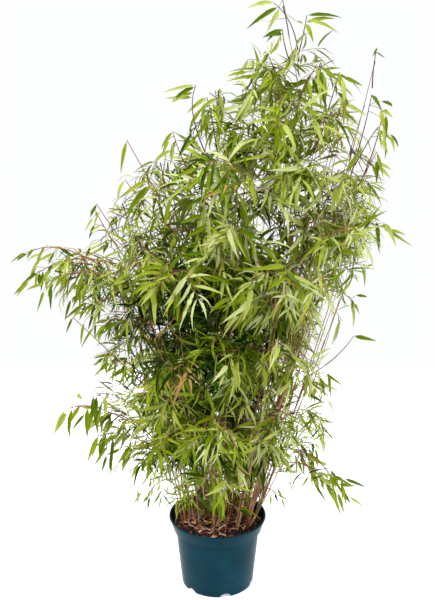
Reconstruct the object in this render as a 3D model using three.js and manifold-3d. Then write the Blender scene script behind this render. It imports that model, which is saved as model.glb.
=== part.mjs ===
// A clump-forming bamboo in its nursery pot, in millimetres, +Z up.
// The origin is the middle of the pot's flat underside. -Y is the front, and +X is the right.
import * as THREE from 'three';
import { mergeVertices } from 'three/addons/utils/BufferGeometryUtils.js';
import Module from 'manifold-3d';

const wasm = await Module();
wasm.setup();

// ---------------------------------------------------------------- driving dimensions

const GAP = 0.3; // clearance between two pieces that rest on each other

const POT = {
  height: 200,
  rimRadius: 130,
  lipThickness: 4,
  lipDepth: 5,
  collarFootRadius: 119,
  collarDepth: 36,
  shoulderRadius: 112,
  shoulderDepth: 40,
  footRadius: 96,
  heel: 3,
  wall: 2.4,
  floor: 4,
  sides: 32,
};
const DRAIN = { count: 6, width: 26, height: 10, depth: 12, turn: 8 };

const SOIL = { level: 181, chips: 16, chipSize: 15 };

const CANE = { steps: 7, sides: 5, footRadius: 4.2, tipShare: 0.34, flare: 1.35, flareShare: 0.012 };

const STEM = { steps: 3, sides: 3, footRadius: 2.4, tipRadius: 1.5, angle: 42, droop: 0.26 };
const TWIG = { sides: 3, footRadius: 1.8, tipRadius: 1.4, length: 100, angle: 55, droop: 0.15 };
const LEAF = {
  length: 158,
  width: 46,
  thickness: 2,
  belly: 0.4,
  sag: 0.07,
  leastDip: 14,
  mostDip: 82,
  outerDip: 45,
  roll: 30,
};
const YOUNG = { level: 1370, share: 0.7 }; // above this level leaves are young, and this share as long
const FAN = [[0.99, 5], [0.76, -42], [0.53, 42], [0.3, -50]]; // a twig's leaves: how far along, how far aside

const GOLDEN_ANGLE = 137.5;
const TRIES = 10; // how often a twig or leaf that doesn't fit is tried another way before it is skipped
const CLEAR = 0.6; // least distance between two limbs, or a limb and a leaf, that don't grow from each other
const CELL_MARGIN = 0.6; // least distance from a twig or leaf to the next mass's space

// The canes. foot is where a cane stands on the soil, as an angle and a distance from the middle, and tip is
// where it ends. Between them it bows past an elbow: spread is how far out towards the tip the elbow is, and
// elbow is its height. top is the mass of foliage that goes on from the tip: its stem's length and how many
// twigs it carries. Each row of sides is a mass lower down: how far along the cane its stem leaves, the
// heading it takes, its length and its twigs.
const CANES = [
  { foot: [0, 80], tip: [370, 20, 1375], spread: 0.62, elbow: 850, top: [50, 0],
    sides: [[0.82, 250, 70, 3], [0.6, 100, 100, 3]] },
  { foot: [300, 14], tip: [165, -30, 1452], spread: 1.7, elbow: 1060, top: [70, 1],
    sides: [[0.86, 240, 90, 3]] },
  { foot: [20, 40], tip: [230, 50, 1320], spread: 0.45, elbow: 800, top: [70, 2],
    sides: [[0.42, 325, 90, 3]] },
  { foot: [60, 44], tip: [90, 100, 1275], spread: 0.4, elbow: 740, top: [90, 3],
    sides: [[0.78, 340, 90, 3]] },
  { foot: [140, 24], tip: [0, 0, 1235], spread: 0.4, elbow: 700, top: [90, 3],
    sides: [[0.74, 250, 100, 4], [0.5, 210, 100, 3]] },
  { foot: [165, 46], tip: [-130, 45, 1075], spread: 0.45, elbow: 700, top: [70, 1],
    sides: [[0.74, 120, 90, 3]] },
  { foot: [195, 62], tip: [-215, -30, 1000], spread: 0.5, elbow: 600, top: [60, 2],
    sides: [[0.62, 230, 90, 3]] },
  { foot: [180, 84], tip: [-305, 20, 885], spread: 0.35, elbow: 1010, top: [70, 3],
    sides: [[0.78, 150, 80, 3]] },
  { foot: [200, 96], tip: [-215, 0, 475], spread: 0.45, elbow: 480, top: [70, 3],
    sides: [[0.62, 280, 90, 3]] },
  { foot: [350, 60], tip: [265, -50, 1070], spread: 0.55, elbow: 640, top: [80, 3],
    sides: [[0.74, 340, 90, 3]] },
  { foot: [335, 92], tip: [150, -20, 385], spread: 0.5, elbow: 400, top: [70, 3], sides: [] },
  { foot: [30, 84], tip: [245, 100, 1185], spread: 0.5, elbow: 700, top: [80, 3],
    sides: [[0.5, 120, 90, 3]] },
  { foot: [275, 40], tip: [60, -130, 1090], spread: 0.4, elbow: 640, top: [90, 3],
    sides: [[0.56, 300, 110, 3]] },
  { foot: [232, 76], tip: [-100, -160, 880], spread: 0.45, elbow: 560, top: [90, 3],
    sides: [[0.54, 230, 90, 3]] },
  { foot: [308, 78], tip: [140, -180, 840], spread: 0.45, elbow: 540, top: [90, 3],
    sides: [[0.5, 10, 80, 3]] },
  { foot: [265, 88], tip: [-10, -150, 520], spread: 0.4, elbow: 400, top: [70, 3], sides: [] },
  { foot: [80, 60], tip: [20, 170, 1060], spread: 0.4, elbow: 620, top: [90, 3],
    sides: [[0.56, 110, 100, 3]] },
  { foot: [130, 78], tip: [-140, 170, 880], spread: 0.45, elbow: 560, top: [90, 3],
    sides: [[0.5, 190, 100, 3]] },
  { foot: [50, 84], tip: [150, 180, 760], spread: 0.45, elbow: 500, top: [90, 3], sides: [] },
  { foot: [100, 92], tip: [10, 160, 440], spread: 0.4, elbow: 400, top: [70, 3], sides: [] },
];

// ---------------------------------------------------------------- materials

const material = (color, roughness) =>
  new THREE.MeshStandardMaterial({ color, roughness, metalness: 0, flatShading: true });
const POT_PLASTIC = material(0x22323a, 0.45);
const EARTH = material(0x2c1c16, 0.95);
const CANE_SKIN = material(0x8a6a45, 0.6);
const LEAF_GREEN = material(0x6f9a2e, 0.5);

// ---------------------------------------------------------------- numbers and directions

const UP = new THREE.Vector3(0, 0, 1);
const radians = THREE.MathUtils.degToRad;
const lerp = THREE.MathUtils.lerp;
const heading = (degrees) => new THREE.Vector3(Math.cos(radians(degrees)), Math.sin(radians(degrees)), 0);

// A seeded source of numbers from 0 to 1, the same on every machine.
function randomFrom(seed) {
  let state = Math.imul(seed, 2654435761) | 0;
  return () => {
    state = (state + 0x6d2b79f5) | 0;
    let mixed = Math.imul(state ^ (state >>> 15), 1 | state);
    mixed = (mixed + Math.imul(mixed ^ (mixed >>> 7), 61 | mixed)) ^ mixed;
    return ((mixed ^ (mixed >>> 14)) >>> 0) / 4294967296;
  };
}

// The direction that leaves a line at an angle, on the side that a turn about the line gives.
function branching(tangent, angle, turn) {
  const across = new THREE.Vector3().crossVectors(tangent, UP).normalize();
  const side = across.applyAxisAngle(tangent, radians(turn)).multiplyScalar(Math.sin(radians(angle)));
  return tangent.clone().multiplyScalar(Math.cos(radians(angle))).add(side);
}

// A line of equal steps that starts in a direction and gives way to its own weight.
function droopingLine(start, direction, length, steps, droop) {
  const points = [start.clone()];
  const way = direction.clone().normalize();
  for (let i = 0; i < steps; i++) {
    points.push(points[i].clone().addScaledVector(way, length / steps));
    way.addScaledVector(UP, -droop).normalize();
  }
  return points;
}

// The place and direction at a share of the way along a line of equal steps.
function placeOn(points, share) {
  const steps = points.length - 1;
  const step = Math.min(Math.floor(share * steps), steps - 1);
  const tangent = points[step + 1].clone().sub(points[step]).normalize();
  return { point: points[step].clone().lerp(points[step + 1], share * steps - step), tangent };
}

// ---------------------------------------------------------------- solids

function solidOf(geometry) {
  const bare = geometry.index ? geometry.toNonIndexed() : geometry.clone();
  bare.deleteAttribute('normal');
  bare.deleteAttribute('uv');
  const merged = mergeVertices(bare, 1e-4);
  return new wasm.Manifold(new wasm.Mesh({
    numProp: 3,
    vertProperties: merged.getAttribute('position').array,
    triVerts: new Uint32Array(merged.index.array),
  }));
}

function meshOf(solid, name, finish) {
  const { numProp, vertProperties, triVerts } = solid.getMesh();
  const geometry = new THREE.BufferGeometry();
  const corners = new THREE.InterleavedBuffer(vertProperties, numProp);
  geometry.setAttribute('position', new THREE.InterleavedBufferAttribute(corners, 3, 0));
  geometry.setIndex(new THREE.BufferAttribute(triVerts, 1));
  const mesh = new THREE.Mesh(geometry.toNonIndexed(), finish);
  mesh.geometry.computeVertexNormals();
  mesh.name = name;
  return mesh;
}

// The largest of the bodies that a solid holds: a scrap that touches nothing is dropped.
const largestBody = (solid) =>
  solid.decompose().reduce((best, body) => (body.volume() > best.volume() ? body : best));

// A round limb that tapers along a line: a cylinder whose rings are moved on to the line's points.
// A level foot has its first ring cut flat, as where a cane stands on the soil.
function limb(points, radii, sides, levelFoot = false) {
  const steps = points.length - 1;
  const geometry = new THREE.CylinderGeometry(1, 1, 1, sides, steps);
  const rings = points.map((point, i) => {
    const before = points[Math.max(i - 1, 0)];
    const after = points[Math.min(i + 1, steps)];
    const tangent = i === 0 && levelFoot ? UP.clone() : after.clone().sub(before).normalize();
    return { point, tangent };
  });
  let side = new THREE.Vector3(0, 1, 0).cross(rings[0].tangent);
  if (side.length() < 0.1) side = new THREE.Vector3(1, 0, 0);
  for (const ring of rings) {
    side = side.clone().addScaledVector(ring.tangent, -side.dot(ring.tangent)).normalize();
    ring.side = side;
    ring.other = new THREE.Vector3().crossVectors(side, ring.tangent);
  }
  const position = geometry.getAttribute('position');
  for (let i = 0; i < position.count; i++) {
    const ring = Math.round((position.getY(i) + 0.5) * steps);
    const vertex = rings[ring].point.clone()
      .addScaledVector(rings[ring].side, position.getX(i) * radii[ring])
      .addScaledVector(rings[ring].other, position.getZ(i) * radii[ring]);
    position.setXYZ(i, vertex.x, vertex.y, vertex.z);
  }
  return geometry;
}

// ---------------------------------------------------------------- pot and soil

// Half the pot's section, from the axis under the floor, up the outside, over the lip and down the inside.
function potProfile() {
  const { height, rimRadius, lipThickness, lipDepth, wall, floor, footRadius, heel } = POT;
  const collarFoot = height - POT.collarDepth;
  const shoulder = height - POT.shoulderDepth;
  return [
    [0, 0],
    [footRadius - heel, 0],
    [footRadius, heel],
    [POT.shoulderRadius, shoulder],
    [POT.collarFootRadius, collarFoot],
    [rimRadius - lipThickness / 2, height - lipDepth],
    [rimRadius, height - lipDepth / 2],
    [rimRadius - 1, height],
    [rimRadius - lipThickness, height],
    [POT.collarFootRadius - wall, collarFoot],
    [POT.shoulderRadius - wall, shoulder],
    [footRadius - wall, floor],
    [0, floor],
  ].map(([r, z]) => new THREE.Vector2(r, z));
}

// A turned solid stands on Z: LatheGeometry turns about Y, so it is tipped up.
const turned = (profile, sides) => new THREE.LatheGeometry(profile, sides).rotateX(Math.PI / 2);

function makePot() {
  let pot = solidOf(turned(potProfile(), POT.sides));
  for (let i = 0; i < DRAIN.count; i++) {
    const turn = radians(270 + DRAIN.turn + (i * 360) / DRAIN.count);
    const notch = new THREE.BoxGeometry(2 * DRAIN.depth, DRAIN.width, 2 * DRAIN.height)
      .translate(POT.footRadius, 0, 0)
      .rotateZ(turn);
    pot = pot.subtract(solidOf(notch));
  }
  return meshOf(pot, 'pot', POT_PLASTIC);
}

// How far the pot's inner wall is from the axis at a height.
function innerRadius(z) {
  const wall = [
    [POT.floor, POT.footRadius - POT.wall],
    [POT.height - POT.shoulderDepth, POT.shoulderRadius - POT.wall],
    [POT.height - POT.collarDepth, POT.collarFootRadius - POT.wall],
    [POT.height, POT.rimRadius - POT.lipThickness],
  ];
  const above = Math.max(wall.findIndex(([level]) => level >= z), 1);
  const [[low, narrow], [high, wide]] = [wall[above - 1], wall[above]];
  return lerp(narrow, wide, (z - low) / (high - low));
}

// The soil fills the pot. Chips of bark lie on it, clear of the canes' feet.
function makeSoil(canes) {
  const slack = GAP / Math.cos(Math.PI / POT.sides);
  const levels = [POT.floor + GAP, POT.height - POT.shoulderDepth, POT.height - POT.collarDepth, SOIL.level];
  const profile = [
    new THREE.Vector2(0, levels[0]),
    ...levels.map((z) => new THREE.Vector2(innerRadius(z) - slack, z)),
    new THREE.Vector2(0, SOIL.level),
  ];
  let soil = solidOf(turned(profile, POT.sides));
  const random = randomFrom(7);
  for (let i = 0; i < SOIL.chips; i++) {
    const place = heading(i * GOLDEN_ANGLE).multiplyScalar(108 * Math.sqrt((i + 0.5) / SOIL.chips));
    const size = SOIL.chipSize * lerp(0.6, 1.1, random());
    const chip = new THREE.BoxGeometry(2 * size, size, 0.5 * size)
      .rotateX(radians(lerp(-14, 14, random())))
      .rotateY(radians(lerp(-10, 10, random())))
      .rotateZ(2 * Math.PI * random())
      .translate(place.x, place.y, SOIL.level);
    const tooNear = canes.some(({ points }) => points[0].clone().setZ(0).distanceTo(place) < 1.2 * size + 8);
    if (!tooNear) soil = soil.add(solidOf(chip));
  }
  return meshOf(soil, 'soil', EARTH);
}

// ---------------------------------------------------------------- canes

// A cane's middle line, bowed from its foot past its elbow to its tip.
function canePath({ foot: [at, reach], tip, spread, elbow }) {
  const foot = heading(at).multiplyScalar(reach).setZ(SOIL.level + GAP);
  const end = new THREE.Vector3(...tip);
  const bow = foot.clone().lerp(end, spread).setZ(elbow);
  const curve = new THREE.QuadraticBezierCurve3(foot, bow, end);
  return curve.getSpacedPoints(CANE.steps);
}

function growCane(cane, index) {
  const line = canePath(cane);
  const shares = [0, CANE.flareShare, ...line.slice(1).map((_, i) => (i + 1) / CANE.steps)];
  const points = shares.map((share) => placeOn(line, share).point);
  const foot = CANE.footRadius * lerp(0.6, 1, cane.tip[2] / 1500);
  const radii = shares.map((share, i) => foot * lerp(1, CANE.tipShare, share) * (i === 0 ? CANE.flare : 1));
  const name = `cane_${String(index + 1).padStart(2, '0')}`;
  return { name, cane, line, points, radii, geometry: limb(points, radii, CANE.sides, true) };
}

// ---------------------------------------------------------------- clearances

// The straight pieces of a limb, each with its greater radius and what it belongs to.
const piecesOf = (points, radii, owner) =>
  points.slice(1).map((point, i) => ({
    line: new THREE.Line3(points[i], point),
    radius: Math.max(radii[i], radii[i + 1]),
    owner,
  }));

const near = (a, b) => a.line.distanceSqToLine3(b.line) < (a.radius + b.radius + CLEAR) ** 2;
const clearOf = (pieces, others, ...owners) =>
  pieces.every((piece) => others.every((other) => owners.includes(other.owner) || !near(piece, other)));

// A leaf's blade as two flat halves, its edges as thin pieces.
function bladeOf({ root, tip, corner }, owner) {
  const [left, right] = [corner(-1, 0), corner(1, 0)];
  const edges = [[root, left], [left, tip], [root, right], [right, tip], [root, tip], [left, right]].map(
    ([a, b]) => ({ line: new THREE.Line3(a, b), radius: LEAF.thickness / 2, owner }));
  return { corners: [root, tip, left, right], halves: [[root, left, right], [tip, left, right]], edges, owner };
}

function pierces(line, halves) {
  const ray = new THREE.Ray(line.start, line.delta(new THREE.Vector3()).normalize());
  const hit = new THREE.Vector3();
  return halves.some(([a, b, c]) =>
    ray.intersectTriangle(a, b, c, false, hit) && hit.distanceTo(line.start) < line.distance());
}

const bladeClearOf = (blade, limbs, blades, ...owners) =>
  clearOf(blade.edges, limbs, ...owners)
  && limbs.every((limb) => owners.includes(limb.owner) || !pierces(limb.line, blade.halves))
  && blades.every((other) => clearOf(blade.edges, other.edges)
    && !blade.edges.some((edge) => pierces(edge.line, other.halves))
    && !other.edges.some((edge) => pierces(edge.line, blade.halves)));

// A place is in a mass's space if it is nearer to that mass's heart than to any other's.
function inSpace(point, mass, masses) {
  const own = point.distanceToSquared(mass.heart);
  return masses.every((other) => other === mass
    || point.distanceToSquared(other.heart) - own > 2 * CELL_MARGIN * other.heart.distanceTo(mass.heart));
}

const abovePot = (point) => point.z > POT.height + 6 || Math.hypot(point.x, point.y) > POT.rimRadius + 25;

// ---------------------------------------------------------------- foliage

// A mass's stem goes on from its cane's tip, or leaves the cane's side from inside, to be cut clear of it.
function growStem(grown, [share, toward, length, twigs], name) {
  const { point, tangent } = placeOn(grown.line, share);
  const atTip = share === 1;
  const angle = radians(STEM.angle);
  const direction = atTip ? tangent
    : tangent.clone().multiplyScalar(Math.cos(angle)).addScaledVector(heading(toward), Math.sin(angle));
  const start = atTip ? point.clone().addScaledVector(tangent, GAP) : point;
  const points = droopingLine(start, direction, length, STEM.steps, STEM.droop);
  const foot = atTip ? grown.radii.at(-1) : STEM.footRadius;
  const radii = points.map((_, i) => lerp(foot, STEM.tipRadius, i / STEM.steps));
  const heart = placeOn(points, 0.7).point.addScaledVector(UP, -40);
  return { name, grown, points, radii, twigs, atTip, heart };
}

// Where a leaf's corners are. It leaves its root in a direction, and its blade faces up but for a roll.
function leafCorners(root, direction, length, roll) {
  const level = new THREE.Vector3().crossVectors(direction, UP).normalize();
  const across = level.applyAxisAngle(direction, radians(roll));
  const face = new THREE.Vector3().crossVectors(across, direction);
  const width = LEAF.width * (length / LEAF.length) ** 0.5;
  const belly = root.clone()
    .addScaledVector(direction, LEAF.belly * length)
    .addScaledVector(face, LEAF.sag * length);
  const corner = (x, z) =>
    belly.clone().addScaledVector(across, (x * width) / 2).addScaledVector(face, (z * LEAF.thickness) / 2);
  return { root, tip: root.clone().addScaledVector(direction, length), corner };
}

// An octahedron whose six corners are moved to a leaf's root, tip, two edges, upper and lower face.
function leafGeometry({ root, tip, corner }) {
  const geometry = new THREE.OctahedronGeometry(1);
  const position = geometry.getAttribute('position');
  for (let i = 0; i < position.count; i++) {
    const [x, y, z] = [position.getX(i), position.getY(i), position.getZ(i)].map(Math.round);
    const vertex = y === 0 ? corner(x, z) : y > 0 ? tip : root;
    position.setXYZ(i, vertex.x, vertex.y, vertex.z);
  }
  return geometry;
}

// The way a leaf hangs from its twig: turned to one side by its fan angle, and dipped below level.
function leafDirection(tangent, fan, dip) {
  const level = tangent.clone().setZ(0).normalize().applyAxisAngle(UP, radians(fan));
  return level.multiplyScalar(Math.cos(radians(dip))).addScaledVector(UP, -Math.sin(radians(dip)));
}

// The steepest that a leaf hangs: out on an arching tip, leaves are held more level.
const mostDip = (point) => lerp(LEAF.mostDip, LEAF.outerDip, Math.min(Math.hypot(point.x, point.y) / 450, 1));

// The twigs of one mass, by the seeded rule. A twig that would leave the mass's space or touch a limb is
// turned about its stem and shortened, and at last skipped.
function growTwigs(mass, masses, limbs, seed) {
  const twigs = [];
  for (let k = 0; k < mass.twigs; k++) {
    const random = randomFrom(seed * 97 + k);
    const share = lerp(mass.atTip ? 0.15 : 0.35, 0.9, (k + 0.5) / mass.twigs);
    const { point, tangent } = placeOn(mass.points, share);
    const turn = k * GOLDEN_ANGLE + lerp(-25, 25, random());
    const length = TWIG.length * lerp(0.75, 1.15, random());
    for (let attempt = 0; attempt < TRIES; attempt++) {
      const direction = branching(tangent, TWIG.angle, turn + attempt * 71).addScaledVector(UP, -TWIG.droop);
      const points = droopingLine(point, direction, length * 0.93 ** attempt, 1, 0);
      const radii = [TWIG.footRadius, TWIG.tipRadius];
      const owner = `${mass.name}_${k}`;
      const pieces = piecesOf(points, radii, owner);
      const fits = points.slice(1).every((p) => inSpace(p, mass, masses) && abovePot(p));
      if (fits && clearOf(pieces, limbs, mass.name)) {
        twigs.push({ points, radii, owner, seed: seed * 97 + k });
        limbs.push(...pieces);
        break;
      }
    }
  }
  return twigs;
}

// The leaves of one mass, fanned along the ends of its twigs and of its stem. A leaf that would leave the
// mass's space, or touch a limb or another leaf, is turned, dipped and shortened, and at last skipped.
function growLeaves(mass, masses, limbs, twigs, seed) {
  const blades = [];
  const ends = [...twigs, { points: mass.points, owner: mass.name, seed: seed * 97 + 61 }];
  for (const { points, owner, seed: endSeed } of ends) {
    FAN.forEach(([along, side], i) => {
      const random = randomFrom(endSeed * 13 + i);
      const { point, tangent } = placeOn(points, owner === mass.name ? 1 - (1 - along) * 0.6 : along);
      const fan = side + lerp(-15, 15, random());
      const dip = lerp(LEAF.leastDip, mostDip(point), random());
      const size = lerp(0.8, 1.05, random()) * (point.z > YOUNG.level ? YOUNG.share : 1);
      const length = LEAF.length * size;
      const roll = lerp(-LEAF.roll, LEAF.roll, random());
      for (let attempt = 0; attempt < TRIES; attempt++) {
        const direction = leafDirection(tangent, fan + attempt * 23 * (side < 0 ? -1 : 1), dip + attempt * 4);
        const corners = leafCorners(point, direction, length * 0.94 ** attempt, roll);
        const blade = bladeOf(corners, owner);
        const fits = blade.corners.slice(1).every((p) => inSpace(p, mass, masses) && abovePot(p));
        if (fits && bladeClearOf(blade, limbs, blades, owner)) {
          blades.push({ ...blade, geometry: leafGeometry(corners) });
          break;
        }
      }
    });
  }
  return blades;
}

// Fuses a mass, and cuts its stem clear of the cane that carries it.
function makeFoliage(mass, masses, limbs, seed) {
  const twigs = growTwigs(mass, masses, limbs, seed);
  const leaves = growLeaves(mass, masses, limbs, twigs, seed);
  let solid = wasm.Manifold.union([
    limb(mass.points, mass.radii, STEM.sides),
    ...twigs.map(({ points, radii }) => limb(points, radii, TWIG.sides)),
    ...leaves.map(({ geometry }) => geometry),
  ].map(solidOf));
  if (!mass.atTip) {
    const { points, radii } = mass.grown;
    const sleeve = radii.map((radius) => radius + GAP / Math.cos(Math.PI / CANE.sides));
    solid = solid.subtract(solidOf(limb(points, sleeve, CANE.sides, true)));
  }
  return meshOf(largestBody(solid), mass.name, LEAF_GREEN);
}

// ---------------------------------------------------------------- the plant

const canes = CANES.map(growCane);
const limbs = canes.flatMap(({ name, points, radii }) => piecesOf(points, radii, name));

const masses = canes.flatMap((grown) => {
  const number = grown.name.slice(-2);
  return [[1, 0, ...grown.cane.top], ...grown.cane.sides].map((row, k) =>
    growStem(grown, row, k === 0 ? `foliage_${number}_tip` : `foliage_${number}_side_${k}`));
});
for (const { name, grown, points, radii } of masses) {
  const pieces = piecesOf(points, radii, name);
  if (!clearOf(pieces, limbs, grown.name)) throw new Error(`the stem of ${name} touches another limb`);
  limbs.push(...pieces);
}

const plant = new THREE.Group();
plant.add(makePot());
plant.add(makeSoil(canes));
for (const { name, geometry } of canes) plant.add(meshOf(solidOf(geometry), name, CANE_SKIN));
masses.forEach((mass, i) => plant.add(makeFoliage(mass, masses, limbs, i + 1)));

export default plant;
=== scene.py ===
# %% [markdown]
# # A potted bamboo
# This lesson dresses the plain solids of a clump-forming bamboo in its nursery pot. The solids come in
# first and stay where they are, because they say how big everything is. Each new piece is then made in its
# place, in metres, with +Z up and the front towards -Y.

# %% Load the solids
from math import atan2, cos, degrees, hypot, pi, radians, sin, sqrt

import bpy
import numpy as np
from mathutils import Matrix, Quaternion, Vector


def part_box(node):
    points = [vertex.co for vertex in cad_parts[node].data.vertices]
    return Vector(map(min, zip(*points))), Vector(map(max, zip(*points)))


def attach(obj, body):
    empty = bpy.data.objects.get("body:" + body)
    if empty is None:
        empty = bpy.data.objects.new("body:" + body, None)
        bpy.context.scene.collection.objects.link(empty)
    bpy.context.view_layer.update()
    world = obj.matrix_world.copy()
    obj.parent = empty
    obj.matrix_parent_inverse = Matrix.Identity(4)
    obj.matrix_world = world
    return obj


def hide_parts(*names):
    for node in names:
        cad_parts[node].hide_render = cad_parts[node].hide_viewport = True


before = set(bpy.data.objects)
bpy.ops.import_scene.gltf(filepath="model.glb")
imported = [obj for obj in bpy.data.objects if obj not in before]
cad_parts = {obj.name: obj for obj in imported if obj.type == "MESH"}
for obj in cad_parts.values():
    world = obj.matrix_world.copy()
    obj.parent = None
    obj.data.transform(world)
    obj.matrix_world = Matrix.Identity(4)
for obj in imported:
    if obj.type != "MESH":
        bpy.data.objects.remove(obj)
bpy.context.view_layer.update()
MM = 0.001  # the plant's rule is written in millimetres, as the solids' own is

# %% [markdown]
# ## Where we stand
# The plant is looked at from a little above, from about two and a half metres away, with a lens that is a
# bit longer than normal. A tall plant seen from above shows the mulch in its pot, so the camera is tilted
# down and isn't shifted.

# %% The camera
CAMERA_PLACE = (0.0, -2.59, 1.64)
CAMERA_DIP = 17.9  # degrees below level
LENS, FILM_HEIGHT = 43.2, 24.0  # millimetres

bpy.ops.object.camera_add(location=CAMERA_PLACE, rotation=(radians(90 - CAMERA_DIP), 0, 0))
camera = bpy.context.active_object
camera.name = "camera"
camera.data.sensor_fit = "VERTICAL"
camera.data.sensor_height = FILM_HEIGHT
camera.data.lens = LENS
bpy.context.scene.camera = camera
print("camera at", tuple(camera.location))

# %% [markdown]
# ## A recipe for materials
# Node trees are quick to draw and slow to read in code. This small class wraps one output of a node, so
# that a sum such as `1 - mask * 0.5` adds its Math nodes by itself. Colours don't go through sums, because
# a Math node turns them grey: they go through `blend`, which is a Mix node.


# %% Sums
class Value:
    """One output of a node, which works in sums."""

    def __init__(self, finish, socket):
        self.finish, self.socket = finish, socket

    def maths(self, operation, first, second):
        return self.finish.node("ShaderNodeMath", {"operation": operation}, {0: first, 1: second})

    def __add__(self, other):
        return self.maths("ADD", self, other)

    def __sub__(self, other):
        return self.maths("SUBTRACT", self, other)

    def __rsub__(self, other):
        return self.maths("SUBTRACT", other, self)

    def __mul__(self, other):
        return self.maths("MULTIPLY", self, other)

    __radd__, __rmul__ = __add__, __mul__


# %% Nodes
class Finish:
    """A material, with a method for each kind of node that is used often."""

    def __init__(self, name, **constants):
        self.material = bpy.data.materials.new(name)
        self.material.use_nodes = True
        self.tree = self.material.node_tree
        self.shader = self.tree.nodes["Principled BSDF"]
        self.place = self.node("ShaderNodeTexCoord", output="Object")
        self.set(**constants)

    def set(self, **inputs):
        for title, value in inputs.items():
            self.fill(self.shader.inputs[title.replace("_", " ")], value)

    def fill(self, socket, value):
        if isinstance(value, Value):
            self.tree.links.new(value.socket, socket)
        else:
            socket.default_value = value

    def node(self, kind, settings=None, inputs=None, output=0):
        made = self.tree.nodes.new(kind)
        for title, value in (settings or {}).items():
            if title == "stops":
                self.set_stops(made.color_ramp.elements, value)
            else:
                setattr(made, title, value)
        for title, value in (inputs or {}).items():
            self.fill(made.inputs[title], value)
        return Value(self, made.outputs[output])

    @staticmethod
    def set_stops(elements, stops):
        while len(elements) < len(stops):
            elements.new(0.5)
        for element, (position, code) in zip(elements, stops):
            element.position, element.color = position, shade(code)

    def noise(self, scale, detail=2.0, stretch=(1, 1, 1)):
        where = self.node("ShaderNodeMapping", {}, {"Vector": self.place, "Scale": stretch})
        return self.node("ShaderNodeTexNoise", {}, {"Vector": where, "Scale": scale, "Detail": detail})

    def ramp(self, value, *stops):
        """A run of colours: each stop is a position and a colour's code."""
        return self.node("ShaderNodeValToRGB", {"stops": stops}, {"Fac": value})

    def height(self):
        return self.node("ShaderNodeSeparateXYZ", {}, {"Vector": self.place}, output="Z")

    def between(self, value, low, high):
        settings = {"interpolation_type": "SMOOTHSTEP"}
        return self.node("ShaderNodeMapRange", settings, {"Value": value, "From Min": low, "From Max": high})

    def blend(self, factor, first, second):
        inputs = {"Factor": factor, "A": first, "B": second}
        return self.node("ShaderNodeMix", {"data_type": "RGBA"}, inputs, output="Result")

    def bump(self, relief, distance, strength=1.0):
        return self.node("ShaderNodeBump", {}, {"Height": relief, "Distance": distance, "Strength": strength})


def shade(code):
    """The linear colour of a six-figure colour code."""
    parts = [int(code[i:i + 2], 16) / 255 for i in (0, 2, 4)]
    return (*[p / 12.92 if p < 0.04045 else ((p + 0.055) / 1.055) ** 2.4 for p in parts], 1.0)


def paint(piece, finish):
    piece.data.materials.clear()
    piece.data.materials.append(finish.material)


print("a warm brown is", [round(part, 3) for part in shade("8a5a3c")])

# %% [markdown]
# ## Floor and light
# The plant stands on white studio paper that glows a little, as paper does over a light table, so that it
# stays white in the plant's own shadow. The light is soft: a wide lamp from the upper left, one from above,
# and panels at both sides and behind. The world is white where the camera looks at it, but dim as a light,
# so that the heart of the crown stays dark, and dimmer still in what mirrors it.

# %% The studio
bpy.ops.object.select_all(action="DESELECT")
bpy.ops.mesh.primitive_plane_add(size=3.2, location=(0, 0, 0))
floor = bpy.context.active_object
floor.name = "studio_paper"
paper = Finish("studio_paper", Roughness=1.0, Specular_IOR_Level=0.1, Emission_Color=shade("f8fcff"),
               Emission_Strength=0.5)
grain = paper.noise(60.0)
paper.set(Base_Color=paper.ramp(grain, (0.3, "eef2f5"), (0.7, "f4f8fb")))
paint(floor, paper)

WORLD_LIGHT, WORLD_MIRRORED = 0.33, 0.09
world = bpy.data.worlds.new("studio_light")
bpy.context.scene.world = world
world.use_nodes = True
nodes, links = world.node_tree.nodes, world.node_tree.links
seen, lit, mirrored = nodes["Background"], *[nodes.new("ShaderNodeBackground") for _ in range(2)]
for background, strength in [(seen, 1.0), (lit, WORLD_LIGHT), (mirrored, WORLD_MIRRORED)]:
    background.inputs["Color"].default_value = (0.985, 0.993, 1.0, 1.0)
    background.inputs["Strength"].default_value = strength
rays, inner, outer = nodes.new("ShaderNodeLightPath"), *[nodes.new("ShaderNodeMixShader") for _ in range(2)]
for mix, ray, no, yes in [(inner, "Is Glossy Ray", lit, mirrored), (outer, "Is Camera Ray", inner, seen)]:
    links.new(rays.outputs[ray], mix.inputs[0])
    links.new(no.outputs[0], mix.inputs[1])
    links.new(yes.outputs[0], mix.inputs[2])
links.new(outer.outputs[0], nodes["World Output"].inputs["Surface"])

bpy.context.scene.view_settings.view_transform = "Standard"  # plain colours: white paper stays white


def add_lamp(name, place, target, size, power):
    aim = (Vector(target) - Vector(place)).to_track_quat("-Z", "Y").to_euler()
    bpy.ops.object.light_add(type="AREA", location=place, rotation=aim)
    lamp = bpy.context.active_object
    lamp.name, lamp.visible_camera = name, False
    lamp.data.size, lamp.data.energy = size, power


add_lamp("key_light", (-1.9, -2.3, 3.2), (0, 0, 0.9), 1.5, 130.0)
add_lamp("top_light", (0.3, 0.4, 3.6), (0, 0, 0.8), 2.2, 70.0)
add_lamp("left_panel", (-2.6, 0.3, 1.0), (0, 0, 0.7), 2.0, 22.0)
add_lamp("right_panel", (2.5, -0.8, 1.3), (0, 0, 0.8), 2.0, 60.0)
add_lamp("back_panel", (0.2, 3.0, 1.2), (0, 0, 0.6), 3.0, 40.0)

# %% [markdown]
# ## Shaping by hand
# Most pieces here are round, so they start as a cylinder. A bisect cuts a ring at each height, and each
# ring is scaled to its radius, as a potter pulls a wall. Selecting is done in code, by where a vertex or a
# face is.


# %% Helpers for shaping
def object_mode():
    if bpy.context.mode != "OBJECT":
        bpy.ops.object.mode_set(mode="OBJECT")


def edit_mode():
    bpy.ops.object.mode_set(mode="EDIT")


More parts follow.
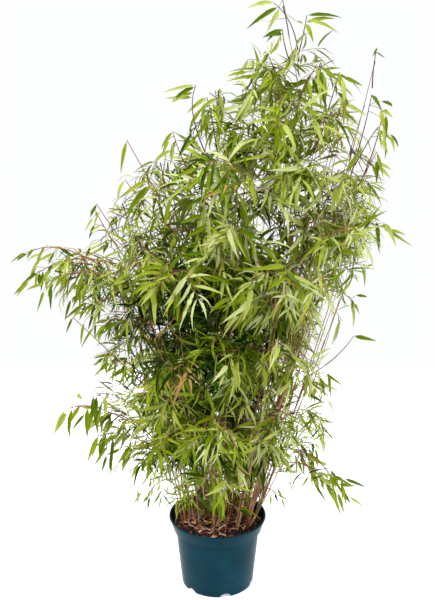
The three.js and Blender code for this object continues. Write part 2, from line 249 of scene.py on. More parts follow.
def choose(piece):
    """Makes a piece the active one, and the only one selected."""
    object_mode()
    bpy.ops.object.select_all(action="DESELECT")
    piece.select_set(True)
    bpy.context.view_layer.objects.active = piece


def begin(add, name, **settings):
    """Adds a primitive, puts its place in its mesh and opens it for editing."""
    object_mode()
    bpy.ops.object.select_all(action="DESELECT")
    add(**settings)
    bpy.ops.object.transform_apply()
    piece = bpy.context.active_object
    piece.name = name
    edit_mode()
    return piece


def pick(piece, test, faces=False):
    """Selects the vertices, or the faces by their middles, that pass a test, in edit mode."""
    bpy.ops.mesh.select_mode(type="FACE" if faces else "VERT")
    bpy.ops.mesh.select_all(action="DESELECT")
    object_mode()
    for part in piece.data.polygons if faces else piece.data.vertices:
        part.select = test(part.center if faces else part.co)
    edit_mode()


NEAR = 1e-5  # heights that differ by less are the same


def at_height(z):
    return lambda place: abs(place.z - z) < NEAR


def resize(x, y, z=1.0, level=0.0):
    bpy.ops.transform.resize(value=(x, y, z), center_override=(0, 0, level))


def cut(height, normal=(0, 0, 1), **settings):
    """Cuts the whole of the open piece with a plane, level unless a normal says otherwise."""
    bpy.ops.mesh.select_all(action="SELECT")
    bpy.ops.mesh.bisect(plane_co=(0, 0, height), plane_no=normal, **settings)


def ringed_cylinder(name, rings, sides, ends="NGON"):
    """A cylinder with a ring for each radius and height, from the lowest to the highest."""
    low, high = rings[0][1], rings[-1][1]
    piece = begin(bpy.ops.mesh.primitive_cylinder_add, name, vertices=sides, radius=1.0, depth=high - low,
                  location=(0, 0, (low + high) / 2), end_fill_type=ends)
    for _, z in rings[1:-1]:
        cut(z)
    for radius, z in rings:
        pick(piece, at_height(z))
        resize(radius, radius, level=z)
    return piece


def apply_modifier(piece, kind, **settings):
    choose(piece)
    modifier = piece.modifiers.new(kind.lower(), kind)
    for title, value in settings.items():
        setattr(modifier, title, value)
    bpy.ops.object.modifier_apply(modifier=modifier.name)


def smooth(piece, angle):
    choose(piece)
    bpy.ops.object.shade_smooth_by_angle(angle=radians(angle))


def place_in_frame(piece, slot, *replaced):
    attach(piece, "root")
    if replaced:
        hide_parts(*replaced)
    corners = np.array([corner[:] for corner in piece.bound_box]).round(3)
    print(piece.name, "faces:", len(piece.data.polygons), "from", corners.min(0), "to", corners.max(0))


print("helpers ready in", bpy.context.mode.lower(), "mode")

# %% [markdown]
# ## The pot
# A nursery pot is moulded in one shot: a thin tapered wall, a stepped collar that lets pots nest without
# jamming, and a small rolled lip that stiffens the rim. Notches in the heel let water out. A spun profile
# would do, but a cylinder whose rings are scaled is easier to follow, and its top face can be inset and
# pushed down to make the inside. The notches are cut afterwards with a Boolean, and a bevel rounds every
# edge.

# %% Shape the pot
RIM, _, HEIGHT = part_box("pot")[1]
FOOT, SHOULDER, COLLAR = 0.096, 0.112, 0.119  # outer radii at the heel, under the step and over it
HEEL_Z, SHOULDER_Z, COLLAR_Z = 0.003, 0.160, 0.164
LIP, LIP_EDGE = 0.004, 0.0014
WALL, FLOOR = 0.0024, 0.004

pot = ringed_cylinder("nursery_pot", [
    (FOOT - HEEL_Z, 0.0), (FOOT, HEEL_Z), (SHOULDER, SHOULDER_Z), (COLLAR, COLLAR_Z),
    (RIM - 0.0022, HEIGHT - 0.0055), (RIM - 0.0004, HEIGHT - 0.0044), (RIM, HEIGHT - 0.0028),
    (RIM - 0.0004, HEIGHT - 0.0010), (RIM - LIP_EDGE, HEIGHT)], sides=96)
pick(pot, at_height(HEIGHT), faces=True)
bpy.ops.mesh.inset(thickness=LIP - LIP_EDGE)
level = HEIGHT
for z, radius in [(COLLAR_Z, COLLAR - WALL), (SHOULDER_Z, SHOULDER - WALL), (FLOOR, FOOT - WALL)]:
    bpy.ops.mesh.extrude_region_move(TRANSFORM_OT_translate={"value": (0, 0, z - level)})
    object_mode()
    now = max(v.co.xy.length for v in pot.data.vertices if v.select)
    edit_mode()
    resize(radius / now, radius / now, level=z)
    level = z
print("pot:", round(2 * RIM, 3), "m across the rim and", round(HEIGHT, 3), "m high")

# %% Cut the drain notches
NOTCHES, NOTCH_TURN = 6, 283.0  # their number, and the heading of the first in degrees
NOTCH_RADIUS, NOTCH_WIDENING = 0.012, 1.25
for i in range(NOTCHES):
    turn = radians(NOTCH_TURN + i * 360 / NOTCHES)
    cutter = begin(bpy.ops.mesh.primitive_cylinder_add, "notch_cutter", vertices=32, radius=NOTCH_RADIUS,
                   depth=0.05, location=(0, 0, 0), rotation=(0, radians(90), 0))
    resize(1, NOTCH_WIDENING)
    bpy.ops.transform.translate(value=(FOOT - 0.005, 0, 0))
    object_mode()
    bpy.ops.transform.rotate(value=-turn, orient_axis="Z", center_override=(0, 0, 0))
    bpy.ops.object.transform_apply()
    apply_modifier(pot, "BOOLEAN", object=cutter, operation="DIFFERENCE", solver="EXACT")
    bpy.data.objects.remove(cutter)
apply_modifier(pot, "BEVEL", width=0.0006, segments=2, limit_method="ANGLE", angle_limit=radians(35))
smooth(pot, 40)
print("faces with the notches and the bevel:", len(pot.data.polygons))

# %% [markdown]
# The plastic is a dark blue-green polypropylene, a little uneven. It is smooth enough to mirror the white
# room softly at its sides, and handling leaves it faintly dusty and scuffed, mostly near the foot.

# %% Pot plastic
plastic = Finish("pot_plastic", Specular_IOR_Level=0.06)
cloud, speck = plastic.noise(14.0, 3.0), plastic.noise(420.0, 2.0)
scuff = plastic.noise(60.0, 4.0, stretch=(1, 1, 6))
tone = plastic.ramp(cloud, (0.3, "042b36"), (0.55, "06323f"), (0.75, "0e3a46"))
dust = plastic.between(scuff, 0.58, 0.8) * (1 - plastic.between(plastic.height(), 0.0, 0.09)) * 0.35
plastic.set(Base_Color=plastic.blend(dust, tone, shade("4c5a60")), Roughness=0.24 + cloud * 0.1 + dust * 0.5,
            Normal=plastic.bump(speck, 0.0002, 0.35))
paint(pot, plastic)
place_in_frame(pot, "pot_plastic", "pot")

# %% [markdown]
# ## Soil and mulch
# The pot is filled to a finger's breadth below its rim with dark compost, under a mulch of chipped bark.
# The filling is one turned body whose top is inset in rings and roughened. One chip is modelled, and its
# copies, each turned and sized by a seeded draw, are laid on the top and joined.

# %% Shape the soil
SOIL_TOP = 0.181
SOIL_FOOT = 0.013  # the notches in the pot's heel stay open under it
SLACK = 0.0006  # between the soil and the wall
SOIL_RINGS, RING_WIDTH, ROUGH_REACH = 9, 0.0125, 0.117


def pot_wall(z):
    """The radius of the pot's inner wall at a height."""
    if z < SHOULDER_Z:
        return FOOT - WALL + (SHOULDER - FOOT) * (z - FLOOR) / (SHOULDER_Z - FLOOR)
    return COLLAR - WALL + (RIM - LIP - COLLAR + WALL) * max(z - COLLAR_Z, 0) / (HEIGHT - COLLAR_Z)


soil = ringed_cylinder("potting_soil", [(pot_wall(z) - SLACK, z) for z in
                       (SOIL_FOOT, SHOULDER_Z - 0.0002, COLLAR_Z, SOIL_TOP)], sides=96)
pick(soil, at_height(SOIL_TOP), faces=True)
for _ in range(SOIL_RINGS):
    bpy.ops.mesh.inset(thickness=RING_WIDTH)
bpy.ops.mesh.poke()
pick(soil, lambda place: place.z > SOIL_TOP - NEAR and place.xy.length < ROUGH_REACH)
bpy.ops.transform.vertex_random(offset=0.004, seed=4)
smooth(soil, 60)

earth = Finish("potting_soil")
crumb, damp = earth.noise(330.0, 5.0), earth.noise(45.0, 2.0)
brown = earth.ramp(crumb, (0.3, "0e0403"), (0.52, "240b08"), (0.72, "4a1e16"))
earth.set(Base_Color=brown, Roughness=0.95 - damp * 0.25, Normal=earth.bump(crumb, 0.0015, 0.9))
paint(soil, earth)
place_in_frame(soil, "bark_soil", "soil")

# %% [markdown]
# Chance has to give the same plant each time, so every draw comes from a source with a seed. Each thing
# that grows has a source of its own, so that a change in one doesn't shift the others. Hundreds of small
# parts could stay objects, but one joined mesh is lighter, so a heap gathers their corners and faces.

# %% Seeded draws, as in the plant's rule
WORD = 0xFFFFFFFF  # the largest whole number of 32 bits


def random_from(seed):
    """A source of numbers from 0 to 1 that is the same on every machine."""
    state = seed * 2654435761 & WORD

    def draw(low=0.0, high=1.0):
        nonlocal state
        state = (state + 0x6D2B79F5) & WORD
        mixed = (state ^ state >> 15) * (1 | state) & WORD
        mixed = (mixed + ((mixed ^ mixed >> 7) * (61 | mixed) & WORD) & WORD) ^ mixed
        return low + (high - low) * ((mixed ^ mixed >> 14) / (WORD + 1))

    return draw


print("two draws:", [round(random_from(seed)(), 3) for seed in (1, 2)])

# %% Many parts in one mesh
def mesh_piece(name, places, faces, finish_of, finishes):
    mesh = bpy.data.meshes.new(name)
    mesh.from_pydata(places, [], faces)
    for finish in finishes:
        mesh.materials.append(finish.material)
    mesh.polygons.foreach_set("material_index", np.array(finish_of, np.int32))
    piece = bpy.data.objects.new(name, mesh)
    bpy.context.scene.collection.objects.link(piece)
    return piece


class Heap:
    """The parts of one mesh: their corners, their faces, and the number of each face's finish."""

    def __init__(self):
        self.places, self.faces, self.finish_of, self.count = [], [], [], 0

    def add(self, places, faces, finish):
        self.faces += [tuple(self.count + i for i in face) for face in faces]
        self.finish_of += [finish] * len(faces)
        self.places.append(places)
        self.count += len(places)

    def joined(self, name, finishes, scale=1.0):
        return mesh_piece(name, np.concatenate(self.places) * scale, self.faces, self.finish_of, finishes)


def taken_apart(master):
    """The corners and faces of a modelled thing, which is then removed."""
    object_mode()
    corners = np.array([v.co[:] for v in master.data.vertices])
    faces = [tuple(p.vertices) for p in master.data.polygons]
    bpy.data.objects.remove(master)
    return corners, faces


def joined_copies(name, master, placings, finishes):
    """One mesh with a copy of the master for each placing: its turn, its size, its place and its finish."""
    corners, faces = taken_apart(master)
    heap = Heap()
    for turn, size, place, finish in placings:
        heap.add((corners * size) @ np.array(turn.to_matrix()).T + np.array(place), faces, finish)
    return heap.joined(name, finishes)


GOLDEN_ANGLE = 137.5  # the turn from one leaf to the next round a stem


def tumbled(random, lean):
    """A turn about any heading, leaned by up to so many degrees."""
    spin = Quaternion((0, 0, 1), random(0, 2 * pi))
    return spin @ Quaternion((random(-1, 1), random(-1, 1), 0), radians(random(-lean, lean)))


print("one tumbled turn:", tumbled(random_from(1), 28))

# %% Chips of bark
chip = begin(bpy.ops.mesh.primitive_cube_add, "bark_chip", size=1.0)
bpy.ops.mesh.subdivide(number_cuts=1)
bpy.ops.transform.vertex_random(offset=0.26, seed=3)
resize(1.0, 0.5, 0.24)

bark = [("bark_chip_dark", "1c0907"), ("bark_chip_red", "3c1610"), ("bark_chip_brown", "57281c"),
        ("bark_chip_pale", "80503e")]


def matt(name, code, roughness, scale, spread=0.2, **constants):
    """A plain colour whose roughness varies a little."""
    finish = Finish(name, Base_Color=shade(code), **constants)
    finish.set(Roughness=roughness + finish.noise(scale) * spread)
    return finish


CHIPS, CHIP_REACH = 300, 0.114
random = random_from(31)
placings = []
for i in range(CHIPS):
    reach, turn = CHIP_REACH * sqrt((i + 0.5) / CHIPS), radians(i * GOLDEN_ANGLE)
    size = random(0.008, 0.023)
    lift = SOIL_TOP + 0.0005 + random(0, 0.0035)
    placings.append((tumbled(random, 28), size, (reach * cos(turn), reach * sin(turn), lift),
                     int(len(bark) * random() ** 1.5)))
mulch = joined_copies("bark_mulch", chip, placings, [matt(*tone, 0.8, 200.0) for tone in bark])
smooth(mulch, 25)
place_in_frame(mulch, "bark_soil")

# %% [markdown]
# ## How the plant grows
# The solids of the plant came from a rule, and the same rule is written again here, with the same table and
# the same seeded draws. A cane rises from the soil and bows past an elbow to its tip. Stems go on from its
# tip and leave its sides, twigs branch from the stems, and leaves fan from the twigs.

# %% The canes
# in millimetres and degrees: the foot's heading and distance; the tip; the bow's spread and elbow; the top
# stem's length and twigs; for each side stem its share along the cane, heading, length and twigs
CANES = [
    ((0, 80), (370, 20, 1375), 0.62, 850, (50, 0), [(0.82, 250, 70, 3), (0.6, 100, 100, 3)]),
    ((300, 14), (165, -30, 1452), 1.7, 1060, (70, 1), [(0.86, 240, 90, 3)]),
    ((20, 40), (230, 50, 1320), 0.45, 800, (70, 2), [(0.42, 325, 90, 3)]),
    ((60, 44), (90, 100, 1275), 0.4, 740, (90, 3), [(0.78, 340, 90, 3)]),
    ((140, 24), (0, 0, 1235), 0.4, 700, (90, 3), [(0.74, 250, 100, 4), (0.5, 210, 100, 3)]),
    ((165, 46), (-130, 45, 1075), 0.45, 700, (70, 1), [(0.74, 120, 90, 3)]),
    ((195, 62), (-215, -30, 1000), 0.5, 600, (60, 2), [(0.62, 230, 90, 3)]),
    ((180, 84), (-305, 20, 885), 0.35, 1010, (70, 3), [(0.78, 150, 80, 3)]),
    ((200, 96), (-215, 0, 475), 0.45, 480, (70, 3), [(0.62, 280, 90, 3)]),
    ((350, 60), (265, -50, 1070), 0.55, 640, (80, 3), [(0.74, 340, 90, 3)]),
    ((335, 92), (150, -20, 385), 0.5, 400, (70, 3), []),
    ((30, 84), (245, 100, 1185), 0.5, 700, (80, 3), [(0.5, 120, 90, 3)]),
    ((275, 40), (60, -130, 1090), 0.4, 640, (90, 3), [(0.56, 300, 110, 3)]),
    ((232, 76), (-100, -160, 880), 0.45, 560, (90, 3), [(0.54, 230, 90, 3)]),
    ((308, 78), (140, -180, 840), 0.45, 540, (90, 3), [(0.5, 10, 80, 3)]),
    ((265, 88), (-10, -150, 520), 0.4, 400, (70, 3), []),
    ((80, 60), (20, 170, 1060), 0.4, 620, (90, 3), [(0.56, 110, 100, 3)]),
    ((130, 78), (-140, 170, 880), 0.45, 560, (90, 3), [(0.5, 190, 100, 3)]),
    ((50, 84), (150, 180, 760), 0.45, 500, (90, 3), []),
    ((100, 92), (10, 160, 440), 0.4, 400, (70, 3), []),
]
TALL = 1500  # what a height is compared with, where canes and leaves change with it
GAP, CELL_MARGIN, TRIES = 0.3, 0.6, 10
CANE_STEPS, FOOT_RADIUS, TIP_SHARE = 7, 4.2, 0.34
STEM_STEPS, STEM_ANGLE, STEM_DROOP, STEM_FOOT, STEM_TIP = 3, 42, 0.26, 2.4, 1.5
TWIG_LENGTH, TWIG_ANGLE, TWIG_DROOP = 100, 55, 0.15
LEAF_LENGTH, LEAST_DIP, MOST_DIP, OUTER_DIP = 158, 14, 82, 45
YOUNG_LEVEL, YOUNG_SHARE = 1370, 0.7
FAN = [(0.99, 5), (0.76, -42), (0.53, 42), (0.3, -50)]  # each leaf's share along its twig, and its side
UP = Vector((0, 0, 1))
print("canes:", len(CANES), "the tallest", max(tip[2] for _, tip, *_ in CANES), "mm")


# %% Lines and directions
def lerp(a, b, share):
    return a + (b - a) * share


def heading(angle):
    return Vector((cos(radians(angle)), sin(radians(angle)), 0))


def leaning(way, side, angle):
    return way * cos(radians(angle)) + side * sin(radians(angle))


def turned(vector, axis, angle):
    return Quaternion(axis, radians(angle)) @ vector


def branching(tangent, angle, turn):
    """The direction that leaves a line at an angle, on the side that a turn about the line gives."""
    return leaning(tangent, turned(tangent.cross(UP).normalized(), tangent, turn), angle)


def drooping_line(start, direction, length, steps, droop):
    points, way = [start.copy()], direction.normalized()
    for _ in range(steps):
        points.append(points[-1] + way * (length / steps))
        way = (way - UP * droop).normalized()
    return points


def place_on(points, share):
    """The place and direction at a share of the way along a line of equal steps."""
    steps = len(points) - 1
    step = min(int(share * steps), steps - 1)
    tangent = (points[step + 1] - points[step]).normalized()
    return points[step].lerp(points[step + 1], share * steps - step), tangent


FINE = 60  # the steps in which a bow is measured


def bowed_line(start, bow, end, steps):
    """Points at equal distances along the curve that leaves start for bow and comes to end from it."""
    fine = [start.lerp(bow, t / FINE).lerp(bow.lerp(end, t / FINE), t / FINE) for t in range(FINE + 1)]
    run = np.cumsum([0] + [(b - a).length for a, b in zip(fine, fine[1:])])
    return [Vector([np.interp(share * run[-1], run, [p[k] for p in fine]) for k in range(3)])
            for share in np.linspace(0, 1, steps + 1)]


def cane_line(cane, steps):
    (at, reach), tip, spread, elbow = cane[:4]
    start = heading(at) * reach + UP * (SOIL_TOP / MM + GAP)
    bow = start.lerp(Vector(tip), spread)
    bow.z = elbow
    return bowed_line(start, bow, Vector(tip), steps)


print("the first cane starts at", cane_line(CANES[0], CANE_STEPS)[0])


# %% Stems and the space of each mass
def foot_radius(cane):
    return FOOT_RADIUS * lerp(0.6, 1, cane[1][2] / TALL)


masses = []
for number, cane in enumerate(CANES, 1):
    line = cane_line(cane, CANE_STEPS)
    for k, (share, toward, length, twigs) in enumerate([(1, 0, *cane[4]), *cane[5]]):
        point, tangent = place_on(line, share)
        if k == 0:
            start, way, thick = point + tangent * GAP, tangent, foot_radius(cane) * TIP_SHARE
        else:
            start, way, thick = point, leaning(tangent, heading(toward), STEM_ANGLE), STEM_FOOT
        points = drooping_line(start, way, length, STEM_STEPS, STEM_DROOP)
        name = f"foliage_{number:02d}_tip" if k == 0 else f"foliage_{number:02d}_side_{k}"
        masses.append({"name": name, "points": points, "twigs": twigs, "tip": k == 0, "thick": thick,
                       "heart": place_on(points, 0.7)[0] - UP * 40, "seed": len(masses) + 1})


def in_space(point, mass):
    """Whether a point is nearer to a mass's heart than to any other mass's."""
    own = (point - mass["heart"]).length_squared
    return all(other is mass or (point - other["heart"]).length_squared - own
               > 2 * CELL_MARGIN * (other["heart"] - mass["heart"]).length for other in masses)


def above_pot(point):
    return point.z > HEIGHT / MM + 6 or hypot(point.x, point.y) > RIM / MM + 25


print("masses of foliage:", len(masses))


# %% Twigs and the lines of leaves
def grow_twigs(mass):
    twigs = []
    for k in range(mass["twigs"]):
        random = random_from(mass["seed"] * 97 + k)
        share = lerp(0.15 if mass["tip"] else 0.35, 0.9, (k + 0.5) / mass["twigs"])
        point, tangent = place_on(mass["points"], share)
        turn = k * GOLDEN_ANGLE + random(-25, 25)
        length = TWIG_LENGTH * random(0.75, 1.15)
        for attempt in range(TRIES):
            way = branching(tangent, TWIG_ANGLE, turn + attempt * 71) - UP * TWIG_DROOP
            points = drooping_line(point, way, length * 0.93 ** attempt, 1, 0)
            if in_space(points[1], mass) and above_pot(points[1]):
                twigs.append((points, mass["seed"] * 97 + k))
                break
    return twigs


def leaf_way(tangent, fan, dip):
    return leaning(turned(Vector((tangent.x, tangent.y, 0)).normalized(), UP, fan), -UP, dip)


def grow_leaf_lines(mass, twigs):
    """The root, direction and length of each broad leaf of the rule, and its dip below level."""
    lines = []
    for points, seed in [*twigs, (mass["points"], mass["seed"] * 97 + 61)]:
        for i, (along, side) in enumerate(FAN):
            random = random_from(seed * 13 + i)
            root, tangent = place_on(points, 1 - (1 - along) * 0.6 if points is mass["points"] else along)
            fan = side + random(-15, 15)
            outer = min(hypot(root.x, root.y) / 450, 1)
            dip = random(LEAST_DIP, lerp(MOST_DIP, OUTER_DIP, outer))
            length = LEAF_LENGTH * random(0.8, 1.05) * (YOUNG_SHARE if root.z > YOUNG_LEVEL else 1)
            for attempt in range(TRIES):
                way = leaf_way(tangent, fan + attempt * 23 * (-1 if side < 0 else 1), dip + attempt * 4)
                tip = root + way * length * 0.94 ** attempt
                if in_space(tip, mass) and above_pot(tip):
                    lines.append((root, way, length * 0.94 ** attempt, dip + attempt * 4))
                    break
    return lines


print("twigs of the third mass:", len(grow_twigs(masses[2])))

# %% [markdown]
# ## Carried to finer twigs
# Each broad leaf of the solids stands for a spray of real ones. Here a twiglet runs along that leaf's line,
# and slender leaves of true size fan from it in two ranks, the last one reaching about as far as the broad
# leaf did. A clump also has thinner canes beside its thick ones, and every joint of a cane bears a thin
# branch, so those are grown as well, each with sprays of its own. Nothing is drawn yet: the rule only lists
# culms and tubes for the wood, and blades for the leaves. The crown leans, so its reach to each side is
# read off a short table.

# %% The crown's reach
# height, then how far the leaves reach to the left and to the right of the pot's middle
CROWN = [(230, -110, 300), (280, -165, 335), (330, -205, 320), (390, -330, 285), (490, -330, 272),
         (580, -320, 275), (660, -305, 265), (740, -305, 280), (800, -370, 300), (830, -440, 318),
         (915, -450, 350), (945, -310, 395), (1050, -270, 405), (1100, -230, 405), (1165, -165, 405),
         (1220, -115, 400), (1290, -50, 365), (1345, 15, 320), (1400, 60, 280), (1540, 80, 240)]
HEIGHTS, LEFTS, RIGHTS = zip(*CROWN)
DEPTH, TOP = 400, 1535  # how far they reach to the front and the back, and up


def from_sides(point):
    """How far a point is inside the crown's left and right side."""
    return point.x - np.interp(point.z, HEIGHTS, LEFTS), np.interp(point.z, HEIGHTS, RIGHTS) - point.x


def in_crown(point, spare=0.0):
    return min(from_sides(point)) > -spare and abs(point.y) < DEPTH and point.z < TOP


def from_middle(point, middle, reach):
    """How far a point is from the middle of an oval, as a share of the oval's reach."""
    return Vector([(point[k] - middle[k]) / reach[k] for k in range(3)]).length


def share_up(value, low, high):
    return min(max((value - low) / (high - low), 0), 1)


# open places in the crown, where bare canes and the sky show: middle, reach and openness
GLADES = [((300, 0, 885), (85, 900, 80), 0.75), ((268, 0, 825), (75, 900, 60), 0.75),
          ((150, 0, 620), (100, 900, 160), 0.3), ((335, 0, 1200), (45, 900, 55), 0.5),
          ((322, 0, 1365), (50, 900, 60), 0.7), ((165, 0, 350), (45, 900, 60), 0.8),
          ((350, 0, 330), (60, 900, 100), 0.5), ((150, 0, 1060), (80, 900, 60), 0.3)]


def thinned(point, random):
    """Whether a twig is left out: more of them are at the sides and at the top, where the sky shows."""
    for middle, reach, openness in GLADES:
        away = from_middle(point, middle, reach)
        if away < 1 and random() < openness * (1 - away * away) ** 0.5:
            return True
    left, right = from_sides(point)
    airy = share_up(point.z, 740, 900) * (1 - share_up(point.z, 1200, 1330))  # the right side is, higher up
    inside = min(share_up(left, 0, 90), share_up(right, 0, lerp(100, 300, airy)))
    return random() > lerp(0.26, 0.85, inside) * lerp(1, 0.66, share_up(point.z, 950, 1380))


def clear_of_soil(point):
    """Leaves hang neither in front of the pot nor low over the soil."""
    out = hypot(point.x, point.y)
    if 130 < point.x < 225 and point.z < 330:
        return False
    return point.z > lerp(290, 215, share_up(abs(point.x), 60, 160)) or out > 175 and abs(point.x) > 130


print("the crown reaches from", min(LEFTS), "to", max(RIGHTS), "mm")

# %% Tints and leaves
tubes = []  # points, foot and tip radius, sides, finish
blades = []  # root, way, facing, length, width, arch, twist, upper, under and tip finish
BARE, GREEN, DRY_WOOD, RED = range(4)  # the finishes of tubes

RANKS = [(0.96, -30), (0.84, 34), (0.7, -42), (0.56, 46), (0.42, -50), (0.28, 54), (0.14, -56)]
TWIGLET_SHARE, SAG = 0.58, 0.7  # its share of a spray's length, and the most that a leaf's weight pulls
LOW_BLADE, HIGH_BLADE = (58, 7.6), (82, 11)  # length and width near the soil, and from a metre up
SHORTEST = 30  # a leaf that would be shorter is left out
UPPERS, UNDERS = 8, 3  # how many finishes the upper and the under sides of leaves are dealt from
DRY = UPPERS + UNDERS


def usual_blade(height):
    return [lerp(*pair, share_up(height, 250, 1100)) for pair in zip(LOW_BLADE, HIGH_BLADE)]


def outward(place):
    return Vector((place.x, place.y, 0)) / max(hypot(place.x, place.y), 80)


# the hearts of the crown, where the leaves take deeper tints as painted shade: middle, reach and depth
PAINTED_SHADE_HEARTS = [((-60, -40, 790), (190, 340, 270), 0.92), ((0, 0, 560), (160, 240, 280), 0.7),
          ((110, 0, 1150), (110, 200, 130), 0.6)]


def painted_shade_at(place):
    """How much painted shade a place takes: 1 at the heart of the crown, 0 out where the light comes in."""
    return max(0, *[weight * (1 - from_middle(place, middle, reach)) for middle, reach, weight in PAINTED_SHADE_HEARTS])


def tint_of(place, random):
    """Which of the upper and under finishes a spray takes, as painted light and shade: pale at the top and
    outside, deep inside. At the top the paler tone is also that of young leaves.
    """
    # painted light and shade: the tone rises with height and falls towards the hearts of the crown
    light = 0.6 + 0.16 * place.z / TALL - 1.25 * painted_shade_at(place) + random(-0.42, 0.42)
    return min(max(int(light * UPPERS), 0), UPPERS - 1), UPPERS + int(random(0, UNDERS))


def anywhere(random):
    return heading(random(0, 360))


def add_blade(root, way, length, random, tint):
    """Adds a leaf, slighter out at the sides, shorter where it would leave the crown, or none."""
    slight = lerp(0.7, 1, max(share_up(min(from_sides(root)), 0, 190), share_up(root.z, 1120, 1280)))
    length *= slight ** 0.5
    for _ in range(3):
        tip = root + way * length
        if in_crown(tip, 14 - 75 * random() ** 2) and clear_of_soil(tip) and above_pot(tip):
            break
        length *= 0.78
    else:
        return
    if length < SHORTEST:
        return
    upper, under = tint
    facing = UP * random(0.2, 1.0) + outward(root) * random(0.2, 1.0) + anywhere(random) * 0.45
    usual, broad = usual_blade(root.z)
    width = broad * slight * (length / usual) ** 0.7 * random(0.65, 1.15)
    if upper < UPPERS:  # the leaves of one spray differ by a shade
        upper = min(max(upper + int(random(0, 3)) - 1, 0), UPPERS - 1)
    blades.append((root, way, facing, length, width, random(0.04, 0.22), random(-50, 50),
                   upper, under, DRY if random() < 0.03 else upper))


print("dark hearts of the crown:", len(PAINTED_SHADE_HEARTS))


# %% Sprays
def arched(start, end, rise, steps):
    return bowed_line(start, start.lerp(end, 0.5) + UP * rise, end, steps)


def grow_spray(root, way, length, random, leaves=len(RANKS) + 1, thin=True):
    """A twiglet with its last leaf, and other leaves in two ranks that give way to their own weight."""
    tint = (DRY, DRY) if random() < lerp(0.006, 0, share_up(root.z, 400, 900)) else tint_of(root, random)
    end = root + way * TWIGLET_SHARE * length
    if not (in_crown(end, -10) and above_pot(end) and clear_of_soil(end)) or thin and thinned(end, random):
        return
    line = arched(root, end, 0.05 * length, 3)
    tubes.append((line, 0.9, 0.6, 3, [GREEN, GREEN, DRY_WOOD, RED, BARE][int(random(0, 5))]))
    usual, _ = usual_blade(root.z)
    add_blade(end, way, min(length * (1 - TWIGLET_SHARE), usual * 1.1) * random(0.85, 1.0), random, tint)
    across = way.cross(UP)
    across = (across if across.length > 0.1 else anywhere(random)).normalized()
    plane = turned(across.cross(way), way, random(-90, 90))
    for along, side in RANKS[:leaves - 1]:
        point, _ = place_on(line, along)
        leaf = turned(way, plane, side + random(-30, 30)) - UP * random(-0.3, SAG)
        add_blade(point, leaf.normalized(), usual * random(0.45, 1.25), random, tint)


# %% The foliage of each mass
def kept_inside(points):
    """The part of a line before it leaves the crown."""
    inside = [in_crown(point) for point in points]
    return points if all(inside) else points[:max(inside.index(False), 2)]


for mass in masses:
    tubes.append((kept_inside(mass["points"]), mass["thick"], STEM_TIP, 5, BARE))
    twigs = grow_twigs(mass)
    for line, _ in twigs:
        tubes.append((kept_inside(arched(*line, 5, 4)), 1.5, 1.0, 5, BARE))
    for k, (root, way, length, dip) in enumerate(grow_leaf_lines(mass, twigs)):
        random = random_from(mass["seed"] * 401 + k)
        eased = leaf_way(way, random(-20, 20), dip * random(0.3, 1.0)) if way.z > -0.97 else way
        grow_spray(root, eased, length * random(0.75, 1.0), random, leaves=1 if root.z > 1400 else 8)
print("tubes:", len(tubes), "leaves:", len(blades))

# %% [markdown]
# ## Culms and branches
# A real clump has many more canes than the solids. Each thick cane has thinner companions, younger ones
# stand between, and a thicket of short ones fills the foot. They could be copies of one cane, but each gets
# a bow of its own, so that no two lean alike. Thin branches then leave every joint above a cane's bare
# foot, and bear the sprays.

# %% The culms: every cane of the table, thinner ones beside it, and others between
JOINT_LENGTH, CULM_STEPS = 92, 32
COMPANIONS, THICKET = 2, 46
CLUMP_REACH, THICKET_SHIFT = 104, Vector((0, 24, 0))  # the thicket stands a little to the back
SLIMMER = 0.54  # the solids' canes are stouter than the real ones
# the foot's heading and distance; the tip
YOUNG_CANES = [
    ((30, 30), (110, 10, 1385)), ((10, 26), (195, 40, 1365)), ((10, 60), (262, -10, 1345)),
    ((60, 30), (150, -40, 1335)), ((90, 30), (60, 30, 1325)), ((20, 70), (300, 40, 1290)),
    ((150, 30), (-112, -20, 1130)), ((170, 50), (-160, 10, 1045)), ((130, 50), (-85, -70, 1090)),
    ((140, 50), (-60, 60, 1140)), ((170, 70), (-215, 40, 970)), ((90, 60), (50, -80, 1010)),
    ((60, 20), (100, 10, 1030)), ((100, 50), (40, 80, 1000)), ((350, 76), (310, -30, 1120)),
    ((0, 98), (330, 30, 1180)), ((160, 94), (-270, 30, 900)), ((40, 60), (200, -90, 1150)),
    ((350, 84), (325, 0, 1010)), ((10, 92), (300, 60, 960)), ((345, 96), (290, -60, 1060)),
    ((20, 78), (318, 20, 1090)), ((30, 84), (270, -70, 930)), ((5, 70), (345, -10, 1230)),
    ((12, 60), (378, -20, 1190)), ((8, 84), (352, 10, 1290)), ((350, 50), (300, -60, 1310)),
    ((335, 92), (300, -150, 900)), ((330, 84), (255, -170, 920)), ((320, 88), (215, -180, 880)),
    ((15, 88), (315, 30, 860)), ((345, 96), (335, -110, 960)), ((310, 80), (150, -190, 900)),
    ((350, 98), (350, -60, 1100)), ((325, 94), (250, -150, 1060)), ((340, 86), (280, -120, 1240)),
]
culms = []  # line, foot radius, how bare it is from its foot, as a share, and its seed


def companion(line, random):
    """A thinner cane that stands close to another and leaves it towards its own tip."""
    foot = line[0] + anywhere(random) * random(9, 24)
    foot.y = abs(foot.y + 25) - 25  # none stands near the front of the soil
    flat = Vector((foot.x, foot.y, 0))
    if flat.length > CLUMP_REACH:
        foot -= flat * (1 - CLUMP_REACH / flat.length)
    share = random(0.6, 0.93)
    tip = place_on(line, share)[0] + anywhere(random) * random(25, 80)
    middle = place_on(line, share * 0.5)[0] + anywhere(random) * random(8, 35)
    return bowed_line(foot, middle * 2 - foot.lerp(tip, 0.5), tip, CULM_STEPS)


